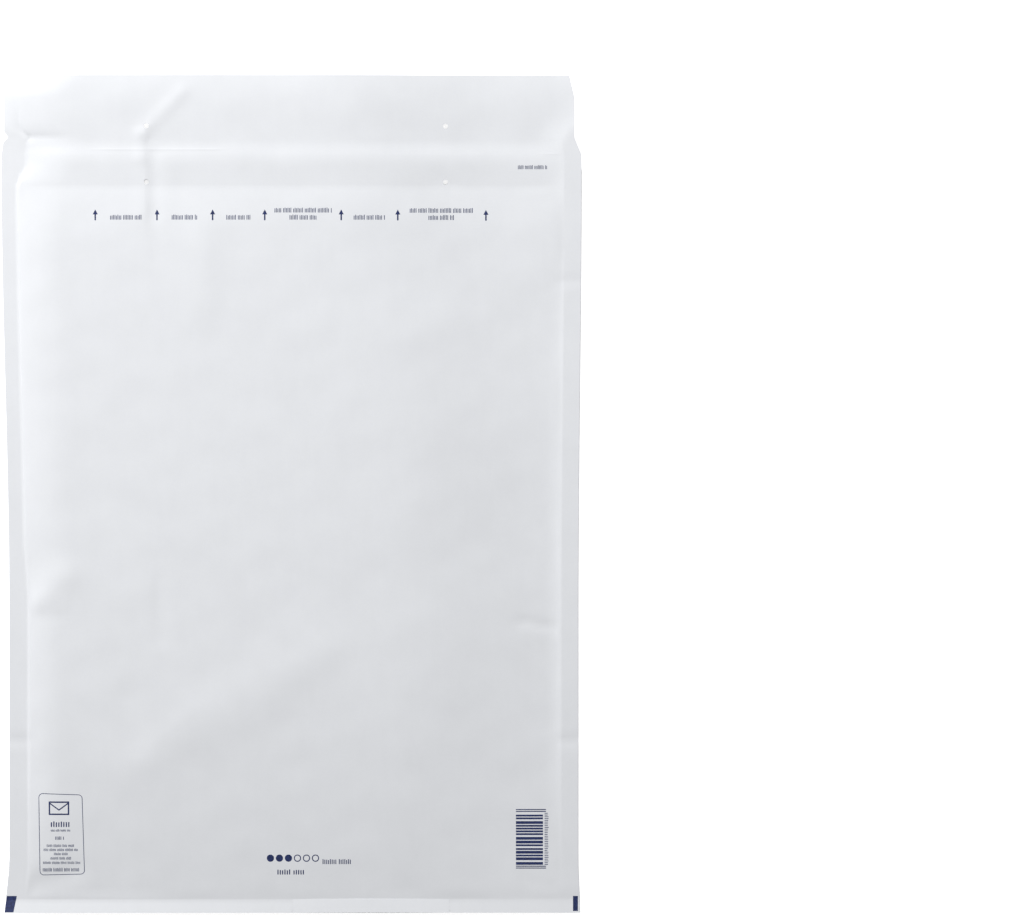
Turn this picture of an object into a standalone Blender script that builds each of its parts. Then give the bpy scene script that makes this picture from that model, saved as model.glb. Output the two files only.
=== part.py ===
"""Padded mailing envelope, lying on its back panel with the printed panel up and its flap open.

One paper web is folded at the foot and sealed along both sides, and its long front panel runs on over
a crease into the flap. A bag of bubble film lines it, and a glue strip under a release strip crosses
the flap's inner face. X runs across the width, +Y from the foot to the flap, +Z up. The origin is at
the middle of the outline, on the surface that the envelope lies on. Lengths are in metres.
"""

import math

import bmesh
import bpy
import numpy as np

# Outline of the puffed envelope, seen from above
WIDTH = 0.367
BODY_LENGTH = 0.480
FLAP_DEPTH = 0.050
MOUTH_SETBACK = 0.010
SEAM_WIDTH = 0.0096
FOOT_BAND = 0.0095
LEFT_PULL = 0.0052
RIGHT_PULL = 0.0021
FOOT_PULL_SHARE = 0.5
FOOT_PULL_RUN = 0.035

# Cut corners of the flap, each measured across and along the envelope
LEFT_CUT_ACROSS = 0.0133
LEFT_CUT_ALONG = 0.0118
RIGHT_CUT_ACROSS = 0.0075
RIGHT_CUT_ALONG = 0.0140
LEFT_INSET = 0.0016
RIGHT_INSET = 0.0044
INSET_RUN = 0.0108
LEFT_NICK = 0.0025
RIGHT_NICK = 0.0
NICK_HALF_LENGTH = 0.0035

# Punched holes, in pairs on both sides of the crease
HOLE_RADIUS = 0.0015
HOLE_SPACING = 0.189
HOLE_FROM_CREASE = 0.0177
HOLE_SHIFT = 0.0030

# Paper, film and glue
PAPER = 0.00025
SEAM_GAP = 0.00005
LINER_WALL = 0.0030
LINER_SETBACK = 0.0206
GLUE_THICKNESS = 0.0002
GLUE_WIDTH = 0.012
GLUE_FROM_CREASE = 0.023
GLUE_END_MARGIN = 0.004
RELEASE_THICKNESS = 0.0002
RELEASE_WIDTH = 0.016
RELEASE_FROM_CREASE = 0.021
RELEASE_END_MARGIN = 0.0008
CLEARANCE = 0.0003

# Puffed form of the front panel and flap
POCKET_GAP = 0.0070
SEAM_HEIGHT = 0.0100
WALL_HEIGHT = 0.0006
WALL_RUN = 0.0026
LEFT_WIDENING = 0.0022
LEFT_WIDENING_RUN = 0.060
LEFT_RUN = 0.030
LEFT_RUN_LOW = 0.022
RIGHT_WIDENING = 0.0012
RIGHT_RUN = 0.085
RIGHT_DIP = 0.0010
RIGHT_DIP_RUN = 0.0095
FOOT_RUN = 0.150
FOOT_LIP = 0.0013
FOOT_LIP_FADE = 0.6
MOUTH_FALL = 0.0014
MOUTH_FALL_RUN = 0.038
SAG = 0.0005
SAG_HALF_WIDTH = 0.070
SAG_X = 0.050
BAND_RISE = 0.0006
CREASE_FALL = 0.0009
CREASE_FALL_HALF = 0.0060
CREASE_FALL_SHIFT = 0.0025
FLAP_FALL = 0.0028
FLAP_LIFT = 0.0006
FLAP_LIFT_SHARE = 0.6
DRAPE_RUN = 0.022
FLAP_RELAX_RUN = 0.020

# Back panel
BACK_BEVEL = 0.032
MOUTH_CURL = 0.0014
MOUTH_CURL_RUN = 0.009

# Relief of the handled paper
PINCH_Y = -0.0765
PINCH_RUN = 0.020
NOTCH_DEPTH = 0.0008
NOTCH_RUN = 0.0045
RELIEF_RUN = 0.0060
RELIEF_ROOM = 0.0012
UNDULATION = 0.00022
UNDULATION_LENGTH = 0.115
UNDULATION_SLANT = 0.6

# How finely the sheets are divided
STEP_ACROSS = 0.0185
STEP_ALONG = 0.0165
WALL_STATIONS = 2
BEVEL_STATIONS = 3
HOLE_SIDES = 16

# Worked out from the sizes above
HALF_WIDTH = WIDTH / 2
POCKET_HALF = HALF_WIDTH - SEAM_WIDTH
TIP_Y = (BODY_LENGTH + FLAP_DEPTH) / 2
CREASE_Y = TIP_Y - FLAP_DEPTH
FOOT_Y = CREASE_Y - BODY_LENGTH
MOUTH_Y = CREASE_Y - MOUTH_SETBACK
LINER_Y = CREASE_Y - LINER_SETBACK
POCKET_FOOT_Y = FOOT_Y + FOOT_BAND
SEAM_THICKNESS = 2 * PAPER + SEAM_GAP
SEAM_TOP = SEAM_HEIGHT + SEAM_THICKNESS / 2
SEAM_BOTTOM = SEAM_HEIGHT - SEAM_THICKNESS / 2
LINER_OFFSET = PAPER + CLEARANCE
LINER_HALF = POCKET_HALF - 2 * LINER_OFFSET
LINER_FOOT_Y = POCKET_FOOT_Y + 2 * LINER_OFFSET
PUFF_HEIGHT = 2 * (LINER_OFFSET + LINER_WALL) + RELIEF_ROOM + POCKET_GAP
SWELL_HEIGHT = PUFF_HEIGHT - SEAM_TOP - WALL_HEIGHT
RELEASE_Y = CREASE_Y + RELEASE_FROM_CREASE
GLUE_Y = CREASE_Y + GLUE_FROM_CREASE

# Folds of the front panel and flap: start, end, half width, height (a valley is negative)
FOLDS = (
    ((-0.069, 0.254), (-0.094, 0.228), 0.0050, 0.0007),
    ((-0.094, 0.228), (-0.0975, 0.212), 0.0042, 0.0006),
    ((-0.0902, 0.214), (-0.0925, 0.178), 0.0045, -0.0007),
    ((-0.062, 0.172), (-0.056, 0.118), 0.014, 0.0008),
    ((-0.165, -0.0765), (-0.139, -0.056), 0.009, -0.0011),
    ((0.150, -0.080), (0.170, -0.084), 0.006, -0.0008),
    ((-0.085, -0.165), (-0.030, -0.130), 0.020, -0.0006),
    ((0.060, 0.104), (0.145, 0.146), 0.018, 0.0006),
    ((0.040, -0.070), (0.130, -0.020), 0.025, -0.0004),
    ((-0.165, -0.247), (-0.138, -0.240), 0.007, -0.0006),
    ((0.160, 0.120), (0.169, 0.060), 0.007, 0.0005),
)
# Places along the side seams where a small fold crosses them: side, y
SEAM_NOTCHES = ((-1, -0.156), (1, -0.156), (1, 0.135))


def smooth_step(value):
    value = np.clip(value, 0.0, 1.0)
    return value * value * (3 - 2 * value)


def rounded_rise(depth, run):
    """0 at the seam to 1 where the sheet levels off, rounded like a quarter ellipse."""
    return np.sqrt(1 - (1 - np.clip(depth / run, 0.0, 1.0)) ** 2)


def eased_rise(depth, run):
    """0 at the seam to 1 at run inside it, with a slope that fades evenly."""
    return 1 - (1 - np.clip(depth / run, 0.0, 1.0)) ** 2


def side_inset(y, pull, inset, nick, cut_across, cut_along):
    """How far a side lies inside half the width at y: the puffed body pulls in, and the flap is cut."""
    drawn = smooth_step((CREASE_Y - y) / (CREASE_Y - PINCH_Y))
    to_foot = 1 - (1 - FOOT_PULL_SHARE) * smooth_step((FOOT_Y + FOOT_PULL_RUN - y) / FOOT_PULL_RUN)
    waist = inset * np.clip((y - CREASE_Y) / INSET_RUN, 0.0, 1.0)
    waist = waist + nick * np.clip(1 - np.abs(y - CREASE_Y - INSET_RUN) / NICK_HALF_LENGTH, 0.0, 1.0)
    cut = (cut_across - inset) * np.clip((y - TIP_Y + cut_along) / cut_along, 0.0, 1.0)
    return pull * drawn * to_foot + waist + cut


def side_places(y):
    """X of the left and right edge at y."""
    left = side_inset(y, LEFT_PULL, LEFT_INSET, LEFT_NICK, LEFT_CUT_ACROSS, LEFT_CUT_ALONG)
    right = side_inset(y, RIGHT_PULL, RIGHT_INSET, RIGHT_NICK, RIGHT_CUT_ACROSS, RIGHT_CUT_ALONG)
    return left - HALF_WIDTH, HALF_WIDTH - right


def across(u, y):
    """X of the place u of the flat web, which the sides' true line at y moves in."""
    low, high = side_places(y)
    return low + (u + HALF_WIDTH) / WIDTH * (high - low)


def unrolled(x, y):
    """The place u of the flat web that lies at x: the reverse of across."""
    low, high = side_places(y)
    return (x - low) / (high - low) * WIDTH - HALF_WIDTH


def fold_relief(x, y):
    """Height that the paper's folds and soft waves add to the front panel."""
    along = (x + UNDULATION_SLANT * y) / UNDULATION_LENGTH
    relief = UNDULATION * np.sin(2 * math.pi * along) * np.cos(math.pi * along - 3 * x / WIDTH)
    for (ax, ay), (bx, by), half_width, height in FOLDS:
        dx, dy = bx - ax, by - ay
        share = np.clip(((x - ax) * dx + (y - ay) * dy) / (dx * dx + dy * dy), 0.0, 1.0)
        away = np.hypot(x - ax - share * dx, y - ay - share * dy)
        relief = relief + height * np.exp(-((away / half_width) ** 2))
    return relief


def left_depth(u, y):
    """Distance of a place from the inner edge of the left seam, which is wider towards the foot."""
    return POCKET_HALF + u - LEFT_WIDENING * smooth_step((PINCH_Y + LEFT_WIDENING_RUN - y) / LEFT_WIDENING_RUN)


def right_depth(u):
    """Distance of a place from the inner edge of the right seam."""
    return POCKET_HALF - RIGHT_WIDENING - u


def wall_share(u, y):
    """0 on the side seams and the foot band, 1 a little inside them."""
    sides = rounded_rise(left_depth(u, y), WALL_RUN) * rounded_rise(right_depth(u), WALL_RUN)
    return sides * rounded_rise(y - POCKET_FOOT_Y, WALL_RUN)


def relief_share(u, y):
    """0 on the side seams and the foot band, 1 where the paper is free to dent."""
    sides = smooth_step(left_depth(u, y) / RELIEF_RUN) * smooth_step(right_depth(u) / RELIEF_RUN)
    return sides * smooth_step((y - POCKET_FOOT_Y) / RELIEF_RUN)


def broad_share(u, y, outward=0.0):
    """0 on the right seam and the foot band, 1 over the padding. Outward moves the edge that far out."""
    right = smooth_step((right_depth(u) + outward) / (RIGHT_RUN + outward))
    return right * eased_rise(y - POCKET_FOOT_Y, FOOT_RUN)


def swell_share(u, y, outward=0.0):
    """0 on the seams and the foot band, 1 over the padding, narrow at the left and broad elsewhere."""
    left_run = LEFT_RUN_LOW + (LEFT_RUN - LEFT_RUN_LOW) * smooth_step((y - PINCH_Y) / PINCH_RUN)
    return eased_rise(left_depth(u, y) + outward, left_run + outward) * broad_share(u, y, outward)


def drape(u, y, outward=0.0):
    """Rise and fall along the panel, from the foot over the crease to the flap's tip."""
    inward = np.clip((LINER_Y - y) / MOUTH_FALL_RUN, 0.0, 1.0)
    body = -MOUTH_FALL * (1 - inward) ** 2
    body = body - SAG * np.exp(-(((u - SAG_X) / SAG_HALF_WIDTH) ** 2)) * smooth_step(inward)
    band = np.clip((y - LINER_Y) / (LINER_SETBACK - CREASE_FALL_HALF), 0.0, 1.0)
    past_crease = smooth_step(((y - CREASE_Y - CREASE_FALL_SHIFT) / CREASE_FALL_HALF + 1) / 2)
    out = np.clip((y - CREASE_Y) / FLAP_DEPTH, 0.0, 1.0)
    flap = FLAP_LIFT * smooth_step(out / FLAP_LIFT_SHARE) - FLAP_FALL * out**4
    sides = eased_rise(left_depth(u, y) + outward, DRAPE_RUN) * eased_rise(right_depth(u) + outward, DRAPE_RUN)
    return sides * (body + BAND_RISE * band - CREASE_FALL * past_crease + flap)


def right_dip(u, y):
    """Shallow trough beside the right seam."""
    depth = right_depth(u)
    trough = eased_rise(depth, RIGHT_DIP_RUN) - smooth_step((depth - RIGHT_DIP_RUN) / RIGHT_RUN)
    return RIGHT_DIP * trough * eased_rise(y - POCKET_FOOT_Y, FOOT_RUN)


def seam_notches(u, y):
    """Small folds that dent the side seams where the envelope was bent."""
    dent = 0.0
    for side, place in SEAM_NOTCHES:
        near_side = smooth_step((side * u - POCKET_HALF) / SEAM_WIDTH + 1)
        dent = dent + NOTCH_DEPTH * near_side * np.exp(-(((y - place) / NOTCH_RUN) ** 2))
    return dent


def foot_lip(u, y):
    """How far the foot band bends up from its inner edge to the fold, most at the left."""
    lip = FOOT_LIP * (1 - FOOT_LIP_FADE * u / HALF_WIDTH)
    return lip * np.clip((POCKET_FOOT_Y - y) / FOOT_BAND, 0.0, 1.0)


def front_height(x, y):
    """Outer face of the front panel and flap."""
    u = unrolled(x, y)
    relaxed = smooth_step((y - CREASE_Y) / FLAP_RELAX_RUN)
    outward = SEAM_WIDTH * relaxed
    wall, gate, swell = wall_share(u, y), relief_share(u, y), swell_share(u, y)
    wall = wall + (1 - wall) * relaxed
    gate = gate + (1 - gate) * relaxed
    swell = swell + (swell_share(u, y, SEAM_WIDTH) - swell) * relaxed
    padding = WALL_HEIGHT * wall * broad_share(u, y, outward) + SWELL_HEIGHT * swell + drape(u, y, 2 * outward)
    dents = right_dip(u, y) * (1 - relaxed) + seam_notches(u, y)
    return SEAM_TOP + foot_lip(u, y) + padding + gate * fold_relief(x, y) - dents


def back_height(x, y):
    """Outer face of the back panel: flat on the ground in the middle, its mouth edge curled up."""
    u = unrolled(x, y)
    share = rounded_rise(POCKET_HALF - np.abs(u), BACK_BEVEL)
    share = share * rounded_rise(y - POCKET_FOOT_Y, BACK_BEVEL)
    curl = MOUTH_CURL * smooth_step((y - MOUTH_Y) / MOUTH_CURL_RUN + 1)
    return SEAM_BOTTOM * (1 - share) + foot_lip(u, y) + curl * share - seam_notches(u, y)


def liner_top(x, y):
    """Outer face of the bubble film under the front panel, clear of the paper's folds."""
    u = unrolled(x, y)
    out_u, out_y = u + np.copysign(LINER_OFFSET, u), y - LINER_OFFSET
    wall = wall_share(out_u, out_y)
    padding = WALL_HEIGHT * wall * broad_share(out_u, out_y) + SWELL_HEIGHT * swell_share(out_u, out_y)
    padding = padding + drape(out_u, np.minimum(y, LINER_Y))
    room = LINER_OFFSET + RELIEF_ROOM * relief_share(out_u, out_y)
    return SEAM_TOP + padding - room - right_dip(u, y) - seam_notches(u, y)


def liner_bottom(x, y):
    """Outer face of the bubble film over the back panel."""
    u = unrolled(x, y)
    return back_height(x + np.copysign(LINER_OFFSET, u), y - LINER_OFFSET) + LINER_OFFSET


def pocket_faces(x, y):
    """Heights of the film's smooth inner faces, which meet near the seams."""
    low = liner_bottom(x, y) + LINER_WALL
    high = liner_top(x, y) - LINER_WALL
    middle = (low + high) / 2
    half = np.maximum((high - low) / 2, LINER_WALL / 10)
    return middle - half, middle + half


def flap_inner(x, y, depth):
    """A face under the flap, depth below the paper's inner face."""
    return front_height(x, y) - PAPER - depth


def crowded(start, run, stations):
    """Stations from start over a rounded edge, close together where it is steep."""
    turns = np.arange(stations) / stations * math.pi / 2
    return list(start + run * (1 - np.cos(turns)))


def edge_stations(start, side):
    """Stations inward from a sealed edge: over the low wall, then over the back panel's bevel."""
    wall = crowded(start, side * WALL_RUN, WALL_STATIONS)
    return wall + crowded(start + side * WALL_RUN, side * (BACK_BEVEL - WALL_RUN), BEVEL_STATIONS)


def even(start, stop, step):
    """Evenly spaced stations with both ends, about step apart."""
    return list(np.linspace(start, stop, max(2, round(abs(stop - start) / step) + 1)))


def filled(keys, step):
    """The keys in order, with even stations between those that are further apart than step."""
    keys = sorted(keys)
    stations = keys[:1]
    for low, high in zip(keys, keys[1:]):
        stations += even(low, high, step)[1:]
    return stations


def padded_rows(start, stop, step):
    """Rows over the padded length, with one at each place where the relief turns quickly."""
    keys = {start, stop, PINCH_Y, PINCH_Y + PINCH_RUN / 2, PINCH_Y + PINCH_RUN}
    for _, place in SEAM_NOTCHES:
        keys |= {place - NOTCH_RUN, place, place + NOTCH_RUN}
    return filled(keys, step)


def column_stations():
    """Places across the web where the grid has a line."""
    left = edge_stations(-POCKET_HALF, 1)
    right = edge_stations(POCKET_HALF, -1)[::-1]
    middle = even(BACK_BEVEL - POCKET_HALF, POCKET_HALF - BACK_BEVEL, STEP_ACROSS)
    return [-HALF_WIDTH] + left + middle + right + [HALF_WIDTH]


def body_rows():
    """Places along the body, from the foot fold to the back panel's mouth edge."""
    low = edge_stations(POCKET_FOOT_Y, 1)
    return [FOOT_Y] + low + padded_rows(POCKET_FOOT_Y + BACK_BEVEL, LINER_Y, STEP_ALONG) + [MOUTH_Y]


def flap_rows():
    """Places along the front sheet past the back panel's mouth edge."""
    crease = [CREASE_Y - CREASE_FALL_HALF, CREASE_Y, CREASE_Y + CREASE_FALL_HALF]
    nick = [CREASE_Y + INSET_RUN + side * NICK_HALF_LENGTH for side in (-1, 0, 1)]
    strip = [RELEASE_Y, GLUE_Y, GLUE_Y + GLUE_WIDTH, RELEASE_Y + RELEASE_WIDTH]
    cuts = [TIP_Y - RIGHT_CUT_ALONG, TIP_Y - LEFT_CUT_ALONG, TIP_Y]
    return sorted(set(crease + nick + strip + cuts))


def plain_material(name, colour, roughness):
    material = bpy.data.materials.new(name)
    material.use_nodes = True
    shader = material.node_tree.nodes["Principled BSDF"]
    shader.inputs["Base Color"].default_value = (*colour, 1.0)
    shader.inputs["Roughness"].default_value = roughness
    material.diffuse_color = (*colour, 1.0)
    return material


def new_collection(name, hidden=False):
    collection = bpy.data.collections.new(name)
    bpy.context.scene.collection.children.link(collection)
    collection.hide_render = hidden
    return collection


def add_object(bm, name, collection, material=None):
    mesh = bpy.data.meshes.new(name)
    bm.to_mesh(mesh)
    bm.free()
    item = bpy.data.objects.new(name, mesh)
    collection.objects.link(item)
    if material:
        mesh.materials.append(material)
        mesh.shade_smooth()
        mesh.set_sharp_from_angle(angle=math.radians(50))
    return item


def cut_with(item, cutter):
    cutter.hide_render = True
    cutter.display_type = "WIRE"
    cut = item.modifiers.new("cut_" + cutter.name, "BOOLEAN")
    cut.operation = "DIFFERENCE"
    cut.solver = "EXACT"
    cut.object = cutter


def folded_web(columns, body, flap):
    """The paper web as one open skin: back panel, foot fold, front panel and flap, sealed at the sides."""
    rows = [("back", y) for y in reversed(body)] + [("front", y) for y in body + flap]
    bm = bmesh.new()
    bmesh.ops.create_grid(bm, x_segments=len(columns) - 1, y_segments=len(rows) - 1, size=0.5)
    bm.verts.ensure_lookup_table()
    width = len(columns)
    for j, (panel, y) in enumerate(rows):
        height = back_height if panel == "back" else front_height
        for i, u in enumerate(columns):
            x = float(across(u, y))
            bm.verts[j * width + i].co = (x, y, float(height(x, y)))
    for side in (0, width - 1):
        for k in range(len(body) - 1):
            back = (len(body) - 1 - k) * width + side
            front = (len(body) + k) * width + side
            bm.faces.new(bm.verts[v] for v in (front, front + width, back - width, back))
    bmesh.ops.recalc_face_normals(bm, faces=bm.faces)
    return bm


def slab(columns, rows, top, bottom):
    """A closed solid over a grid, between two height functions."""
    bm = bmesh.new()
    bmesh.ops.create_grid(bm, x_segments=len(columns) - 1, y_segments=len(rows) - 1, size=0.5)
    places = [(float(across(u, y)), y) for y in rows for u in columns]
    for vertex, (x, y) in zip(bm.verts, places):
        vertex.co = (x, y, 0.0)
    lower = list(bm.verts)
    made = bmesh.ops.extrude_face_region(bm, geom=list(bm.faces))["geom"]
    upper = [item for item in made if isinstance(item, bmesh.types.BMVert)]
    for vertices, height in ((lower, bottom), (upper, top)):
        for vertex in vertices:
            vertex.co.z = float(height(vertex.co.x, vertex.co.y))
    bmesh.ops.recalc_face_normals(bm, faces=bm.faces)
    return bm


def hole_punch(name, x, y, cutters):
    """A cutter that goes through the whole envelope."""
    bm = bmesh.new()
    size = {"radius1": HOLE_RADIUS, "radius2": HOLE_RADIUS, "depth": 4 * PUFF_HEIGHT}
    bmesh.ops.create_cone(bm, cap_ends=True, segments=HOLE_SIDES, **size)
    bmesh.ops.translate(bm, verts=bm.verts, vec=(x, y, 0.0))
    return add_object(bm, name, cutters)


def make_paper_cover(parts, cutters):
    skin = folded_web(column_stations(), body_rows(), flap_rows())
    cover = add_object(skin, "paper_cover", parts, plain_material("white_kraft", (0.82, 0.82, 0.83), 0.62))
    wall = cover.modifiers.new("paper_wall", "SOLIDIFY")
    wall.thickness = PAPER
    wall.offset = -1.0
    wall.use_even_offset = True
    for side, side_name in ((-1, "left"), (1, "right")):
        x = HOLE_SHIFT + side * HOLE_SPACING / 2
        for away, panel in ((-1, "body"), (1, "flap")):
            y = CREASE_Y + away * HOLE_FROM_CREASE
            cut_with(cover, hole_punch(f"punch_{side_name}_{panel}", x, y, cutters))


def liner_stations(half, foot, mouth):
    """Columns and rows of a bag of this half width, from its foot to its mouth."""
    middle = even(BACK_BEVEL - half, half - BACK_BEVEL, 2 * STEP_ACROSS)
    columns = edge_stations(-half, 1) + middle + edge_stations(half, -1)[::-1]
    rows = edge_stations(foot, 1) + padded_rows(foot + BACK_BEVEL, mouth, 2 * STEP_ALONG)
    return columns, rows


def make_bubble_liner(parts, cutters):
    columns, rows = liner_stations(LINER_HALF, LINER_FOOT_Y, LINER_Y)
    film = plain_material("bubble_film", (0.86, 0.88, 0.90), 0.28)
    liner = add_object(slab(columns, rows, liner_top, liner_bottom), "bubble_liner", parts, film)
    columns, rows = liner_stations(LINER_HALF - LINER_WALL, LINER_FOOT_Y + LINER_WALL, LINER_Y + LINER_WALL)
    hollow = slab(columns, rows, lambda x, y: pocket_faces(x, y)[1], lambda x, y: pocket_faces(x, y)[0])
    cut_with(liner, add_object(hollow, "pocket", cutters))


def make_strip(name, parts, material, start, width, thickness, depth, margin):
    """A strip across the flap's inner face, depth below the paper, on the grid lines of the cover."""
    end = HALF_WIDTH - margin
    columns = [-end] + [u for u in column_stations() if abs(u) < end - margin] + [end]
    rows = sorted({start, GLUE_Y, GLUE_Y + GLUE_WIDTH, start + width})
    strip = slab(
        columns, rows,
        lambda x, y: flap_inner(x, y, depth), lambda x, y: flap_inner(x, y, depth + thickness),
    )
    add_object(strip, name, parts, material)


def main():
    for item in list(bpy.data.objects):
        bpy.data.objects.remove(item)
    parts = new_collection("padded_envelope")
    cutters = new_collection("cutters", hidden=True)
    make_paper_cover(parts, cutters)
    make_bubble_liner(parts, cutters)
    make_strip(
        "adhesive_strip", parts, plain_material("clear_glue", (0.85, 0.82, 0.70), 0.30),
        GLUE_Y, GLUE_WIDTH, GLUE_THICKNESS, CLEARANCE, GLUE_END_MARGIN,
    )
    make_strip(
        "release_strip", parts, plain_material("release_paper", (0.86, 0.85, 0.80), 0.35),
        RELEASE_Y, RELEASE_WIDTH, RELEASE_THICKNESS, 2 * CLEARANCE + GLUE_THICKNESS, RELEASE_END_MARGIN,
    )


main()
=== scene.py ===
"""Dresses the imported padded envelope: fine puffed paper, bubble film, flap strips, printed marks, stage.

Everything is in metres in the row frame: X across the width, +Y from the foot fold to the flap, +Z out
of the printed panel. The paper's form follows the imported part's rules on a finer grid, with finer folds.
"""

import math

import bmesh
import bpy
import numpy as np
from bpy.props import FloatProperty, FloatVectorProperty, IntProperty, PointerProperty
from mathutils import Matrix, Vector


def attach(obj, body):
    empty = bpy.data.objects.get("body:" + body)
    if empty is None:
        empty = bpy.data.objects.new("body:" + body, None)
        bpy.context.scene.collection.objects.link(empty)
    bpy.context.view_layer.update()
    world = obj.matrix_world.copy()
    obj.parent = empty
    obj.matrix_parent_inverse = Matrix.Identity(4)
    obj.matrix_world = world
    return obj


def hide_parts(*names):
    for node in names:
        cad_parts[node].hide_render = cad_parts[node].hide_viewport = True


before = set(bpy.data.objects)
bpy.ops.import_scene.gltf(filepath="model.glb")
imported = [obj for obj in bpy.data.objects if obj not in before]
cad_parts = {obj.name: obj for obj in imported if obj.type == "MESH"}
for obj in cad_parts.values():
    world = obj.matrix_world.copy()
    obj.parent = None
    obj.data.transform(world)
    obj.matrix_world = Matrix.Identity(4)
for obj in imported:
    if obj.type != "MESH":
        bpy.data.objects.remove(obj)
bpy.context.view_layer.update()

bl_info = {
    "name": "Padded Envelope",
    "version": (1, 0, 0),
    "blender": (4, 5, 0),
    "location": "3D View > Sidebar > Envelope",
    "description": "Dresses the packed frame of a padded mailing envelope",
    "category": "Object",
}

MM = 0.001

# Outline of the puffed envelope and the punched holes
WIDTH = 0.367
BODY_LENGTH = 0.48
FLAP_DEPTH = 0.05
MOUTH_SETBACK = 0.01
SEAM_WIDTH = 0.0096
FOOT_BAND = 0.0085
LEFT_PULL = 0.0052
RIGHT_PULL = 0.0021
FOOT_PULL_SHARE = 0.5
FOOT_PULL_RUN = 0.035
LEFT_CUT_ACROSS = 0.0133
LEFT_CUT_ALONG = 0.0118
RIGHT_CUT_ACROSS = 0.0075
RIGHT_CUT_ALONG = 0.014
LEFT_INSET = 0.0016
RIGHT_INSET = 0.0044
INSET_RUN = 0.0108
LEFT_NICK = 0.0025
NICK_HALF_LENGTH = 0.0035
HOLE_RADIUS = 0.0015
HOLE_SPACING = 0.189
HOLE_FROM_CREASE = 0.0177
HOLE_SHIFT = 0.003
BACK_HOLE_SLIP = (-0.00066, 0.00078)
BACK_HOLE_SPREAD = 0.00049

# Thicknesses and the strips under the flap
PAPER = 0.00025
SEAM_GAP = 0.00005
LINER_WALL = 0.003
LINER_SETBACK = 0.0206
GLUE_THICKNESS = 0.0002
GLUE_WIDTH = 0.012
GLUE_FROM_CREASE = 0.023
GLUE_END_MARGIN = 0.004
RELEASE_THICKNESS = 0.0002
RELEASE_WIDTH = 0.016
RELEASE_FROM_CREASE = 0.021
RELEASE_END_MARGIN = 0.0008
CLEARANCE = 0.0003

# Puffed form
POCKET_GAP = 0.007
SEAM_HEIGHT = 0.01
WALL_HEIGHT = 0.0006
WALL_RUN = 0.0026
LEFT_WIDENING = 0.0022
LEFT_WIDENING_RUN = 0.06
LEFT_CHAMFER = 0.0075
CHAMFER_RUN = 0.018
CHAMFER_REACH = 1.2
LEFT_RUN = 0.03
LEFT_RUN_LOW = 0.022
RIGHT_WIDENING = 0.0012
RIGHT_RUN = 0.11
RIGHT_FLAT = 0.035
RIGHT_FLAT_FROM = 0.03
RIGHT_FLAT_RISE = 0.13
RIGHT_DIP = 0.001
RIGHT_DIP_RUN = 0.0095
RIGHT_DIP_END = 0.12
RIGHT_DIP_FADE = 0.05
FOOT_RUN = 0.15
FOOT_LIP = 0.0013
FOOT_LIP_FADE = 0.6
FOOT_CREASE = 0.00028
FOOT_CREASE_HALF = 0.004
FOOT_CREASE_X = 0.04
FOOT_CREASE_FADE = 0.04
MOUTH_FALL = 0.0014
MOUTH_FALL_RUN = 0.038
SAG = 0.0005
SAG_HALF_WIDTH = 0.07
SAG_X = 0.05
BAND_RISE = 0.0006
CREASE_FALL = 0.0008
CREASE_FALL_HALF = 0.006
CREASE_FALL_SHIFT = 0.0025
FLAP_FALL = 0.0011
FLAP_LIFT = 0.001
FLAP_LIFT_SHARE = 0.9
DRAPE_RUN = 0.022
FLAP_RELAX_RUN = 0.035
BACK_BEVEL = 0.032
MOUTH_CURL = 0.0014
MOUTH_CURL_RUN = 0.009
PINCH_Y = -0.0765
PINCH_RUN = 0.02
NOTCH_DEPTH = 0.0004
NOTCH_RUN = 0.003
RELIEF_RUN = 0.006
RELIEF_ROOM = 0.0012
UNDULATION = 0.00022
UNDULATION_LENGTH = 0.115
UNDULATION_SLANT = 0.6
UNDULATION_TWIST = 3
DENT_WAVES = 18
DENT_LENGTHS = (0.022, 0.070)

# Worked out from the sizes above
HALF_WIDTH = WIDTH / 2
POCKET_HALF = HALF_WIDTH - SEAM_WIDTH
TIP_Y = (BODY_LENGTH + FLAP_DEPTH) / 2
CREASE_Y = TIP_Y - FLAP_DEPTH
FOOT_Y = CREASE_Y - BODY_LENGTH
MOUTH_Y = CREASE_Y - MOUTH_SETBACK
LINER_Y = CREASE_Y - LINER_SETBACK
POCKET_FOOT_Y = FOOT_Y + FOOT_BAND
SEAM_THICKNESS = 2 * PAPER + SEAM_GAP
SEAM_TOP = SEAM_HEIGHT + SEAM_THICKNESS / 2
SEAM_BOTTOM = SEAM_HEIGHT - SEAM_THICKNESS / 2
LINER_OFFSET = PAPER + CLEARANCE
LINER_HALF = POCKET_HALF - 2 * LINER_OFFSET
LINER_FOOT_Y = POCKET_FOOT_Y + 2 * LINER_OFFSET
FILM_HALF = LINER_HALF - LINER_WALL
FILM_FOOT_Y = LINER_FOOT_Y + LINER_WALL
FILM_HALF_GAP = LINER_WALL / 10
PUFF_HEIGHT = 2 * (LINER_OFFSET + LINER_WALL) + RELIEF_ROOM + POCKET_GAP
SWELL_HEIGHT = PUFF_HEIGHT - SEAM_TOP - WALL_HEIGHT
RELEASE_Y = CREASE_Y + RELEASE_FROM_CREASE
GLUE_Y = CREASE_Y + GLUE_FROM_CREASE

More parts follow.
